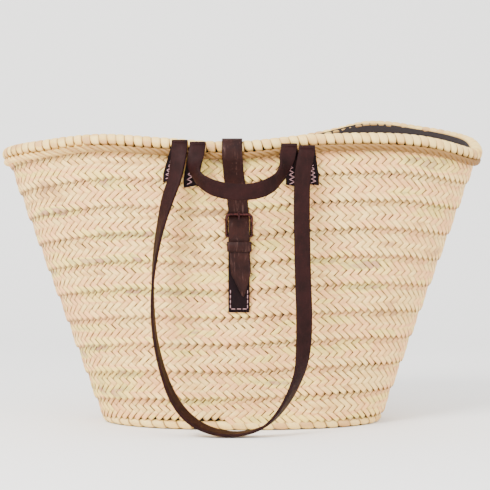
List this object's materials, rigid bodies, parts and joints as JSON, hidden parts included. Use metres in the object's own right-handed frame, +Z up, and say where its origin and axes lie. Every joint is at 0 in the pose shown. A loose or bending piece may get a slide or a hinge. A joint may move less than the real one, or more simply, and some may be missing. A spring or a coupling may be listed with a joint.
{
  "type": "woven market basket",
  "caption": "Oval market basket of spiral-sewn palm-leaf braid with short and long leather handles, a buckled closure strap and a cotton lining.",
  "frame": {"origin": "middle of the flat underside of the base mat, where the basket rests", "axes": "+Z up, +X along the basket's length to the right of the front, front side with the buckle facing -Y"},
  "size_m": [0.5614, 0.3107, 0.3609],
  "materials": {
    "palm_leaf": "dry braided leaf, satin",
    "edge_palm_leaf": "dry twisted and wrapped leaf",
    "palm_fibre": "rough fibre bundle",
    "handle_leather": "matt vegetable-tanned leather",
    "strap_leather": "rubbed satin leather",
    "lining_cotton": "plain cotton weave",
    "buckle_bronze": "dark antiqued wire",
    "thread": "waxed thread"
  },
  "bodies": {
    "basket": {"wall_braid": "palm_leaf", "base_mat": "palm_leaf", "base_edge_roll": "edge_palm_leaf", "rim_core": "palm_fibre", "rim_wrap": "palm_leaf", "rim_rope": "edge_palm_leaf", "lining": "lining_cotton", "front_long_handle_tab_left": "handle_leather", "front_long_handle_tab_right": "handle_leather", "front_long_handle_stitches_left": "thread", "front_long_handle_stitches_right": "thread", "front_short_handle_tab_left": "handle_leather", "front_short_handle_tab_right": "handle_leather", "front_short_handle_stitches_left": "thread", "front_short_handle_stitches_right": "thread", "rear_long_handle_tab_left": "handle_leather", "rear_long_handle_tab_right": "handle_leather", "rear_long_handle_stitches_left": "thread", "rear_long_handle_stitches_right": "thread", "rear_short_handle_tab_left": "handle_leather", "rear_short_handle_tab_right": "handle_leather", "rear_short_handle_stitches_left": "thread", "rear_short_handle_stitches_right": "thread", "closure_strap": "strap_leather", "buckle_strap": "strap_leather", "keeper_loop": "strap_leather", "buckle_strap_stitches": "thread", "closure_anchor_stitches": "thread"},
    "front_long_handle": {"front_long_handle_loop": "handle_leather"},
    "front_short_handle": {"front_short_handle_loop": "handle_leather"},
    "rear_long_handle": {"rear_long_handle_loop": "handle_leather"},
    "rear_short_handle": {"rear_short_handle_loop": "handle_leather"},
    "buckle_frame": {"buckle_frame": "buckle_bronze"},
    "buckle_prong": {"buckle_prong": "buckle_bronze"}
  },
  "joints": [
    {"name": "front_long_handle_swing", "type": "hinge", "parent": "basket", "child": "front_long_handle", "pos_m": [0.0015, -0.12248, 0.312], "axis": [-0.9991, 0, 0.0434], "range_deg": [0, 178]},
    {"name": "front_short_handle_swing", "type": "hinge", "parent": "basket", "child": "front_short_handle", "pos_m": [0.0015, -0.12238, 0.312], "axis": [-0.9998, 0, 0.0202], "range_deg": [0, 178]},
    {"name": "rear_long_handle_swing", "type": "hinge", "parent": "basket", "child": "rear_long_handle", "pos_m": [0.002, 0.12355, 0.329], "axis": [0.9902, 0, 0.1395], "range_deg": [0, 178]},
    {"name": "rear_short_handle_swing", "type": "hinge", "parent": "basket", "child": "rear_short_handle", "pos_m": [0.00175, 0.12342, 0.329], "axis": [0.9908, 0, 0.1353], "range_deg": [0, 140]},
    {"name": "buckle_frame_tilt", "type": "hinge", "parent": "basket", "child": "buckle_frame", "pos_m": [-0.0033, -0.11034, 0.2143], "axis": [1, 0, 0], "range_deg": [0, 4]},
    {"name": "buckle_prong_lift", "type": "hinge", "parent": "buckle_frame", "child": "buckle_prong", "pos_m": [-0.0033, -0.11034, 0.2143], "axis": [1, 0, 0], "range_deg": [0, 3]}
  ]
}
